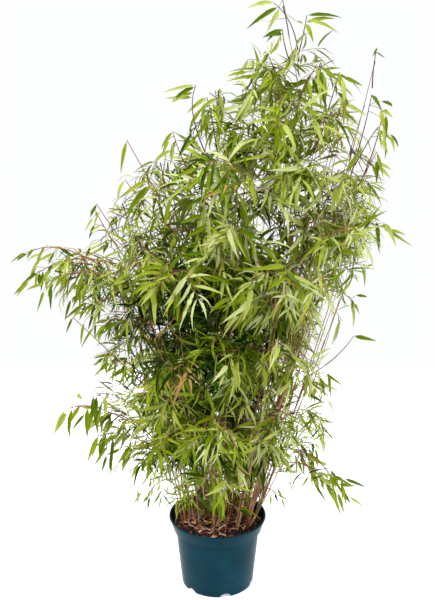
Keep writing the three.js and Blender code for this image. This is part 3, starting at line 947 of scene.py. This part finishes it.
for number, cane in enumerate(CANES):
    line = cane_line(cane, CULM_STEPS)
    culms.append((line, SLIMMER * foot_radius(cane), 0.42, 500 + number))
    for k in range(COMPANIONS):
        random = random_from(800 + 10 * number + k)
        thin = companion(line, random)
        if all(in_crown(point, -20) for point in thin[8:]):
            culms.append((thin, random(1.3, 2.1), 0.5, 900 + 10 * number + k))
for number, (foot, tip) in enumerate(YOUNG_CANES):
    random = random_from(300 + number)
    line = cane_line((foot, tip, random(0.35, 0.6), tip[2] * random(0.5, 0.62)), CULM_STEPS)
    culms.append((line, random(1.5, 2.3), 0.58, 340 + number))
for number in range(THICKET):
    random = random_from(1200 + number)
    at, reach = random(0, 360), 60 * random() ** 0.6
    out = heading(at + random(-50, 50)) * (reach * random(0.9, 1.5) + random(10, 50))
    line = cane_line(((at, reach), (out.x, out.y, random(330, 640)), random(0.3, 0.6), random(300, 400)), 16)
    culms.append(([point + THICKET_SHIFT for point in line], random(1.1, 1.8), 0.45, 1300 + number))
print("culms:", len(culms))


# %% Branches at the joints
BRANCH_LENGTH, RIGHT_LONGER = (45, 120), 70  # those at the right are longer by up to so much
BRANCH_LEAN, BRANCH_DROOP, TWIGLET_LENGTH = (28, 58), (0.04, 0.2), (70, 135)
BRANCH_FAN = [(0.99, 0), (0.75, 50), (0.5, -55), (0.28, 60)]  # each twiglet's share along, and its side


def joints_on(line):
    return round(sum((b - a).length for a, b in zip(line, line[1:])) / JOINT_LENGTH)


def grow_branches(line, bare, seed):
    random = random_from(seed)
    joints = joints_on(line)
    for k in range(1, joints + 1):
        share = k / joints
        if share < bare * random(0.7, 1.3):  # the foot of a cane bears none
            continue
        point, tangent = place_on(line, min(share, 0.995))
        away = degrees(atan2(point.y, point.x))
        toward = away + k * 180 + random(-80, 80) if k % 3 else away + random(-60, 60)
        way = leaning(tangent, heading(toward), random(*BRANCH_LEAN))
        length = random(*BRANCH_LENGTH) + RIGHT_LONGER * share_up(point.x, 80, 300)
        branch = drooping_line(point, way, length, 4, random(*BRANCH_DROOP))
        if not (above_pot(branch[-1]) and in_crown(branch[-1], -15)) or thinned(branch[-1], random):
            continue
        tubes.append((branch, 1.2, 0.8, 4, BARE if point.z > 1000 else [RED, DRY_WOOD, BARE][k % 3]))
        for along, side in BRANCH_FAN:
            root, out = place_on(branch, along)
            low = 1 - min(root.z / TALL, 1)
            twiglet = leaf_way(out, side + random(-35, 35), random(-15, 55) + 30 * low)
            grow_spray(root, twiglet, random(*TWIGLET_LENGTH), random, thin=False)


for line, _, bare, seed in culms:
    grow_branches(line, bare, seed)
print("tubes:", len(tubes), "leaves:", len(blades))

# %% [markdown]
# ## Shoots and suckers
# What draws the outline of a bamboo is its long shoots, which arch out of the crown. Draws alone would put
# them anywhere, so each is listed with a foot, a bow and a tip, and its leaves are given one by one or only
# counted. Suckers are the short first shoots round the foot of the clump.

# %% The table of shoots
# foot; bow; tip; the heading and dip of each leaf, or how many there are; and the usual length of a leaf
SHOOTS = [
    ((190, -20, 1395), (182, -30, 1490), (128, -30, 1528), [(182, 12), (186, 34), (176, 62)], 84),
    ((185, -20, 1400), (196, -30, 1440), (205, -30, 1500), [(4, 4), (-8, 22), (10, -6), (300, 50)], 84),
    ((170, -20, 1390), (150, -30, 1440), (150, -30, 1470), [(184, 40), (176, 20), (190, 8)], 80),
    ((-30, -60, 1190), (-75, -60, 1290), (-50, -60, 1345), [(180, 12), (170, 32), (188, 24), (176, 2)], 80),
    ((-60, -40, 1120), (-100, -40, 1200), (-105, -40, 1235), 5, 74),
    ((0, -30, 1180), (-15, -40, 1280), (-25, -40, 1315), 7, 80),
    ((250, -30, 1250), (275, -30, 1330), (284, -30, 1372), 5, 80),
    ((-70, -40, 960), (-150, -40, 1090), (-215, -40, 1215), [(184, 78)], 80),
    ((-90, -40, 980), (-170, -40, 1040), (-222, -40, 1120), [(186, 70)], 60),
    ((-130, -30, 1010), (-150, -30, 1080), (-165, -30, 1118), [(182, 33), (188, 50)], 120),
    ((-180, -30, 860), (-262, -30, 960), (-300, -30, 1050), 7, 54),
    ((-170, -40, 880), (-245, -40, 980), (-292, -40, 1060), [(200, 60), (160, 70)], 50),
    ((-240, -20, 900), (-370, -30, 950), (-462, -30, 868), 18, 66),
    ((-230, -60, 870), (-330, -70, 925), (-420, -70, 868), 13, 64),
    ((-210, 30, 840), (-290, 30, 890), (-350, 30, 835), 11, 62),
    ((-200, -10, 800), (-270, -10, 845), (-312, -10, 775), 11, 62),
    ((-180, -30, 720), (-240, -30, 790), (-290, -30, 740), 10, 62),
    ((-170, -20, 560), (-300, -20, 700), (-365, -20, 765), [(190, 66)], 50),
    ((-170, 10, 600), (-240, 10, 700), (-285, 10, 655), 9, 64),
    ((-200, -20, 460), (-330, -20, 545), (-375, -20, 518), 7, 92),
    ((-330, -20, 518), (-370, -20, 526), (-394, -20, 512), [(186, 66)], 108),
    ((-190, 30, 430), (-270, 30, 505), (-330, 30, 470), 7, 80),
    ((-150, -50, 400), (-215, -60, 450), (-275, -60, 410), 8, 64),
    ((-110, -60, 330), (-155, -70, 350), (-180, -70, 290), 7, 48),
    ((170, -40, 540), (235, -50, 650), (258, -60, 620), 8, 72),
    ((150, 20, 480), (220, 20, 600), (250, 20, 560), 6, 64),
    ((200, -40, 400), (262, -50, 420), (314, -60, 295), 12, 72),
    ((180, -60, 380), (235, -70, 400), (290, -80, 310), 10, 70),
    ((150, 40, 330), (215, 50, 420), (262, 50, 370), 8, 58),
    ((80, -70, 290), (125, -80, 340), (150, -80, 300), 5, 44),
    ((220, -20, 600), (300, -20, 640), (345, -20, 715), [(-4, 12)], 84),
    ((250, -40, 830), (310, -50, 860), (335, -50, 810), 4, 62),
    ((300, -60, 960), (360, -60, 1040), (398, -60, 1005), 5, 84),
    ((330, -20, 1080), (380, -30, 1180), (390, -30, 1285), 5, 68),
    ((320, -20, 1120), (350, -30, 1240), (362, -30, 1320), 4, 70),
    ((165, 30, 310), (215, 20, 420), (245, 10, 350), 10, 62),
    ((150, 10, 380), (212, 0, 430), (256, -20, 300), 10, 64),
    ((-180, -40, 480), (-260, -40, 590), (-310, -40, 560), 6, 76),
    ((-210, -20, 780), (-290, -20, 845), (-335, -20, 775), 9, 60),
    ((120, -50, 430), (190, -60, 560), (235, -60, 520), 8, 66),
    ((-120, -20, 360), (-230, -30, 480), (-310, -30, 440), 10, 80),
    ((-160, 20, 400), (-260, 20, 520), (-320, 20, 500), 8, 80),
    ((-150, 30, 640), (-220, 30, 790), (-275, 30, 745), 12, 64),
    ((-160, -30, 560), (-230, -40, 690), (-270, -40, 650), 10, 62),
    ((-10, -60, 960), (-22, -90, 1060), (-24, -90, 1092), 10, 84),
    ((190, -20, 1300), (222, -30, 1375), (232, -30, 1390), 7, 76),
    ((205, 10, 1280), (238, 10, 1345), (250, 10, 1368), 6, 76),
    ((230, -20, 1180), (268, -30, 1290), (285, -30, 1312), 9, 74),
    ((-80, -60, 330), (-145, -70, 450), (-190, -70, 400), 11, 62),
    ((-220, 0, 800), (-300, 0, 885), (-350, 0, 815), 10, 62),
    ((-290, -20, 900), (-405, -20, 975), (-468, -20, 930), 9, 60),
    ((330, -20, 1150), (370, -30, 1235), (382, -30, 1245), 5, 64),
    ((330, -20, 1080), (368, -30, 1160), (380, -30, 1185), 6, 70),
    ((368, 10, 1330), (366, 0, 1390), (374, 0, 1425), [(200, 62), (330, 30)], 34),
]
print("shoots:", len(SHOOTS))

# %% Grow the shoots
BARE_ABOVE = 1240  # shoots are bare wood above this height, and red below it
SLENDER = 7.2  # how much longer than wide their leaves are
for number, (foot, bow, tip, leaves, size) in enumerate(SHOOTS):
    random = random_from(60 + number)
    line = bowed_line(Vector(foot), Vector(bow), Vector(tip), 10)
    tubes.append((line, 1.8, 0.9, 5, BARE if tip[2] > BARE_ABOVE else RED))
    onward = degrees(atan2(tip[1] - foot[1], tip[0] - foot[0]))
    branched = isinstance(leaves, int)
    if branched:
        leaves = [(onward + (60 if k % 2 else -60) * random(0.1, 1.3), random(15, 88)) for k in range(leaves)]
    for k, (toward, dip) in enumerate(leaves):
        root, _ = place_on(line, 0.995 - min(0.07, 0.6 / len(leaves)) * (k + (random(-0.7, 0.7) if k else 0)))
        if branched and k:  # its leaf hangs from a twiglet
            end = root + leaf_way(heading(toward + random(-30, 30)), 0, random(-25, 45)) * random(6, 40)
            tubes.append((arched(root, end, 3, 3), 0.8, 0.6, 3, BARE))
            root = end
        tint = int(random(2, UPPERS - 1))
        blades.append((root, leaf_way(heading(toward), 0, dip), UP * 0.5 + Vector((random(-0.3, 0.3), -1, 0)),
                       size * random(0.6, 1.08), size / SLENDER * random(0.7, 1.1), random(0.05, 0.22),
                       random(-30, 30), tint, UPPERS, tint))
print("tubes:", len(tubes), "leaves:", len(blades))

# %% Suckers
SUCKERS = 20
for number in range(SUCKERS):
    random = random_from(1500 + number)
    at, reach = random(0, 360), 92 * random() ** 0.5
    foot = heading(at) * reach + UP * (SOIL_TOP / MM - 2)
    tip = foot + heading(at + random(-60, 60)) * random(5, 30) + UP * random(35, 130)
    line = bowed_line(foot, foot.lerp(tip, 0.5) + anywhere(random) * 8, tip, 6)
    tubes.append((line, 1.1, 0.8, 4, [GREEN, DRY_WOOD, RED][number % 3]))
    tint = (int(random(2, UPPERS - 1)), UPPERS)
    for k in range(int(random(3, 7))):
        root, _ = place_on(line, 0.995 - 0.12 * k)
        way = leaf_way(heading(k * GOLDEN_ANGLE + at), 0, random(-40, 35))
        if hypot(*(root + way * 45).xy) < 112 or root.z > 240:
            blades.append((root, way, UP + anywhere(random) * 0.5, random(28, 52), random(5, 8.5),
                           random(0.04, 0.16), random(-40, 40), *tint, DRY if random() < 0.2 else tint[0]))
print("tubes:", len(tubes), "leaves:", len(blades))

# %% [markdown]
# ## Wood
# A cane is a row of joints. At each one the wood swells to a ridge, over the scar of a fallen sheath. One
# joint is modelled as a ringed cylinder. For each cane its copies are stacked, and the stack is laid along
# the cane's line, tapering to the tip and flaring at the foot.

# %% One joint, and the frame of a line
JOINT_RINGS = [(0.94, 0.0), (1.0, 0.03), (0.94, 0.12), (0.93, 0.5), (0.95, 0.88), (1.1, 0.955), (1.24, 0.975),
               (1.0, 1.0)]
joint_corners, joint_faces = taken_apart(ringed_cylinder("joint", JOINT_RINGS, sides=10, ends="NOTHING"))
print("faces of one joint:", len(joint_faces))


def frames_along(points):
    """The places along a line, with two directions across it that don't spin as it bends."""
    places = np.array([p[:] for p in points])
    ways = np.gradient(places, axis=0)
    ways /= np.linalg.norm(ways, axis=1, keepdims=True)
    side, sides = np.cross([0.0, 1.0, 0.0], ways[0]), []
    if np.linalg.norm(side) < 0.1:
        side = np.array([1.0, 0.0, 0.0])
    for way in ways:
        side = side - way * side.dot(way)
        side = side / np.linalg.norm(side)
        sides.append(side)
    return places, np.array(sides), np.cross(ways, sides)


def laid_along(points, corners, radius_at):
    """Corners given as x, y in radii and z as a share of the length, laid along a line."""
    frames = frames_along(points)
    shares = np.linspace(0, 1, len(points))
    z = np.clip(corners[:, 2], 0, 1)
    place, side, other = ([np.interp(z, shares, part[:, k]) for k in range(3)] for part in frames)
    radius = radius_at(z)
    return np.array([place[k] + radius * (corners[:, 0] * side[k] + corners[:, 1] * other[k])
                     for k in range(3)]).T


# %% The skin of the canes
def cane_skin(name, low, middle, high, blotch):
    finish = Finish(name, Specular_IOR_Level=0.45)
    streak, patch = finish.noise(130.0, 3.0, stretch=(1, 1, 0.06)), finish.noise(9.0, 2.0)
    climb = finish.between(finish.height() + (patch - 0.5) * 0.5, 0.2, 1.3)
    skin = finish.ramp(climb, (0.0, low), (0.5, middle), (1.0, high))
    mottled = finish.blend(finish.between(streak, 0.5, 0.72) * 0.6, skin, shade(blotch))
    finish.set(Base_Color=mottled, Roughness=0.42 + streak * 0.25, Normal=finish.bump(streak, 0.0006, 0.6))
    return finish


CANE_TONES = [("cane_skin_tan", "955c38", "966438", "84502f", "d0a07c"),
              ("cane_skin_olive", "6e5a2c", "7c7a34", "80663a", "a89a5c"),
              ("cane_skin_pink", "b07c60", "a0704e", "8c5a48", "e2bda2"),
              ("cane_skin_red", "6e3423", "80492e", "74402e", "a86a4c")]
print("a skin is made of", len(CANE_TONES[0]) - 1, "colours")

# %% Lay the canes
FLARE, FLARE_END = 0.2, 0.012  # how much wider the foot is, and how soon that ends
WELD = 0.0002  # corners closer than this become one


def culm_radius(foot, share):
    return foot * lerp(1, TIP_SHARE, share)


heap, joint_places = Heap(), []
for number, (line, foot, _, _) in enumerate(culms):
    joints, per = joints_on(line), len(joint_corners)
    stack = np.concatenate([joint_corners + (0, 0, k) for k in range(joints)])
    stack[:, 2] /= joints
    heap.add(laid_along(line, stack, lambda z: culm_radius(foot, z) * (1 + FLARE * np.exp(-z / FLARE_END))),
             [tuple(k * per + i for i in face) for k in range(joints) for face in joint_faces],
             number % len(CANE_TONES))
    joint_places += [(*place_on(line, k / joints), culm_radius(foot, k / joints)) for k in range(joints)]
canes = heap.joined("bamboo_canes", [cane_skin(*tones) for tones in CANE_TONES], MM)
choose(canes)
edit_mode()
bpy.ops.mesh.select_all(action="SELECT")
bpy.ops.mesh.remove_doubles(threshold=WELD)
bpy.ops.mesh.select_all(action="DESELECT")
bpy.ops.mesh.select_mode(type="EDGE")
bpy.ops.mesh.select_non_manifold()
bpy.ops.mesh.fill_holes(sides=12)
smooth(canes, 50)
place_in_frame(canes, "cane", *[f"cane_{n:02d}" for n in range(1, len(CANES) + 1)])

# %% [markdown]
# Each joint of a culm is wrapped in a papery sheath, which dries to a pinkish tan and stays on for a year
# or two. One sheath is an open cylinder, cut off aslant and with a slit along one side, and thickened. Its
# copies stand on the joints.

# %% Sheaths
sheath = begin(bpy.ops.mesh.primitive_cylinder_add, "sheath", vertices=8, radius=1.18, depth=1.0,
               location=(0, 0, 0.5), end_fill_type="NOTHING")
cut(0.45)
cut(0.82, normal=(0.25, 0, 1), clear_outer=True)
pick(sheath, lambda place: place.z > 0.6)
resize(0.92, 0.92)
pick(sheath, lambda place: place.x < -0.9 and place.y > 0, faces=True)
bpy.ops.mesh.delete(type="FACE")
apply_modifier(sheath, "SOLIDIFY", thickness=0.09, offset=1.0)

papery = [("sheath_tan", "c79a72"), ("sheath_pink", "d9b294"), ("sheath_brown", "93603f")]
random = random_from(77)
placings = []
for point, tangent, radius in joint_places:
    if random() < 0.3 + 0.4 * point.z / TALL:  # it has fallen
        continue
    turn = tangent.to_track_quat("Z", "Y") @ Quaternion((0, 0, 1), random(0, 2 * pi))
    girth = radius * random(1.05, 1.3) * MM
    placings.append((turn, (girth, girth, random(0.03, 0.055)), point * MM, int(random(0, len(papery)))))
sheaths = joined_copies("culm_sheaths", sheath, placings, [matt(*tone, 0.7, 150.0) for tone in papery])
smooth(sheaths, 40)
place_in_frame(sheaths, "cane")

# %% [markdown]
# Stems, branches and twiglets are thin tubes of three to five sides with closed ends. Curves with a bevel
# would make them too, but thousands of curves are slow. So a ring of corners is laid at each point of a
# line, with the same frames as the canes have.


# %% Twigs
def tube(points, foot, tip, sides):
    """A round limb with closed ends: a ring of corners at each point of its line."""
    ring = [(cos(a), sin(a)) for a in np.linspace(0, 2 * pi, sides, endpoint=False)]
    steps = len(points) - 1
    corners = np.array([(x, y, k / steps) for k in range(steps + 1) for x, y in ring])
    rows = [[k * sides + i for i in range(sides)] for k in range(steps + 1)]
    faces = [(low[i - 1], low[i], high[i], high[i - 1])
             for low, high in zip(rows, rows[1:]) for i in range(sides)]
    return laid_along(points, corners, lambda z: foot + (tip - foot) * z), [*faces, rows[0][::-1], rows[-1]]


heap = Heap()
for *shape, finish in tubes:
    heap.add(*tube(*shape), finish)
twig_tones = [("twig_purple", "5e3a34"), ("twig_green", "8c8238"), ("twig_dry", "b07c44"),
              ("twig_red", "8e5228")]
twigs = heap.joined("bamboo_twigs", [matt(*tone, 0.45, 90.0) for tone in twig_tones], MM)
smooth(twigs, 50)
place_in_frame(twigs, "cane", *[mass["name"] for mass in masses])

# %% [markdown]
# ## Leaves
# A bamboo leaf is a slender blade on a short stalk. It is widest at a third of its length, folded a little
# along its middle, and it arches and twists. Thousands of them are needed, so all are worked out at once in
# arrays: a few stations along each blade, and at each station a left edge, a ridge, a right edge and a
# keel.

# %% The shape of a leaf
STATIONS = np.array([0.05, 0.14, 0.3, 0.58, 0.84])
WIDTHS = np.array([0.12, 0.7, 1.0, 0.74, 0.32])
FOLD, THICKNESS = 0.34, 0.5


def unit(vectors):
    return vectors / np.linalg.norm(vectors, axis=1, keepdims=True)


def blade_mesh(name, chosen, finishes):
    root, way, facing = (np.array([b[k][:] for b in chosen]) for k in (0, 1, 2))
    length, width, arch, twist = (np.array([b[k] for b in chosen])[:, None] for k in range(3, 7))
    across = unit(np.cross(way, facing))
    face = np.cross(across, way)
    turn = np.radians(twist * (STATIONS - 0.3))[..., None]
    side = across[:, None] * np.cos(turn) + face[:, None] * np.sin(turn)
    up = face[:, None] * np.cos(turn) - across[:, None] * np.sin(turn)
    rise = arch * length * 4 * STATIONS * (1 - STATIONS)
    middle = root[:, None] + way[:, None] * (length * STATIONS)[..., None] + face[:, None] * rise[..., None]
    half = (width * WIDTHS / 2)[..., None]
    rings = np.stack([middle - side * half + up * half * FOLD, middle + up * THICKNESS / 2,
                      middle + side * half + up * half * FOLD, middle - up * THICKNESS / 2], axis=2)
    ends = np.stack([root, root + way * length], axis=1)
    corners = np.concatenate([rings.reshape(len(chosen), -1, 3), ends], axis=1)
    steps, per = len(STATIONS), 4 * len(STATIONS) + 2
    pattern = []
    for a, b in [(0, 1), (1, 2), (2, 3), (3, 0)]:
        pattern += [((4 * i + a, 4 * i + b, 4 * i + 4 + b, 4 * i + 4 + a), a < 2, i == steps - 2)
                    for i in range(steps - 1)]
        pattern.append(((per - 2, b, a), a < 2, False))
        pattern.append(((per - 6 + a, per - 6 + b, per - 1), a < 2, True))
    faces, finish_of = [], []
    for k, (*_, upper, under, tip) in enumerate(chosen):
        for indices, on_top, at_tip in pattern:
            faces.append(tuple(k * per + i for i in indices))
            finish_of.append(tip if at_tip and tip == DRY else upper if on_top else under)
    return mesh_piece(name, corners.reshape(-1, 3) * MM, faces, finish_of, finishes)


print("a leaf has", 4 * (len(STATIONS) + 1), "faces")

# %% [markdown]
# The upper side of a leaf is a smooth green, from deep to pale, and its underside is duller and more
# yellow. A painted pattern could do it, but plain finishes that are dealt by spray give each leaf one clear
# tone. Which tone a spray takes is partly age and partly painted light and shade: deep tones in the heart of
# the crown, pale ones at the top and outside. A few leaves have dry tips.


# %% The finishes of leaves
def leaf_finish(name, code, roughness=0.67, sheen=0.05):
    return matt(name, code, roughness, 70.0, 0.16, Specular_IOR_Level=sheen)


# the upper tints run from deep to pale; tint_of deals the deep ones to the hearts of the crown as painted
# shade and the pale ones to the top and outside as painted light
upper_codes = ["152c00", "304a00", "4f6800", "6b8004", "829118", "98a236", "a6b057", "b8c082"]
under_codes = ["889a2c", "a4b45a", "6a7e12"]
leaf_finishes = [leaf_finish(f"leaf_upper_{k}", code, 0.26, 0.08) for k, code in enumerate(upper_codes, 1)]
leaf_finishes += [leaf_finish(f"leaf_under_{k}", code, 0.52) for k, code in enumerate(under_codes, 1)]
leaf_finishes.append(leaf_finish("leaf_dry", "a88452"))
print("finishes of leaves:", len(leaf_finishes))

# %% [markdown]
# Old leaves and scraps of sheath lie on the mulch. They are the same blades, shorter and in straw browns,
# tumbled a little and kept inside the rim. The leaves of the crown are joined into four pieces by height,
# so that none has too many triangles.

# %% Fallen leaves
litter_tones = [("litter_tan", "c08c72"), ("litter_pale", "e2bda6"), ("litter_brown", "7c4434"),
                ("litter_straw", "d2a588")]
LITTER, LITTER_REACH = 240, 115
random = random_from(91)
litter = []
while len(litter) < LITTER:
    root = anywhere(random) * 104 * random() ** 0.7 + Vector((12, 0, SOIL_TOP / MM + random(2.5, 8)))
    way = (anywhere(random) + UP * random(-0.02, 0.45)).normalized()
    length = random(18, 46)
    tip = root + way * length
    if hypot(tip.x, tip.y) < LITTER_REACH:
        tint = int(random(0, len(litter_tones)))
        litter.append((root, way, UP + anywhere(random) * 0.8, length, random(2.4, 5.5),
                       random(-0.02, 0.16), random(-80, 80), tint, tint, tint))
piece = blade_mesh("leaf_litter", litter, [leaf_finish(*tone) for tone in litter_tones])
smooth(piece, 30)
place_in_frame(piece, "bark_soil")

# %% The leaves of the crown
LEVELS = [("leaves_low", 0, 560), ("leaves_middle", 560, 800), ("leaves_upper", 800, 1020),
          ("leaves_top", 1020, 2000)]
for name, low, high in LEVELS:
    chosen = [b for b in blades if low <= b[0].z < high]
    piece = blade_mesh(name, chosen, leaf_finishes)
    smooth(piece, 20)
    place_in_frame(piece, "foliage", *[m["name"] for m in masses if low <= m["heart"].z < high])
    print(name, "leaves:", len(chosen))
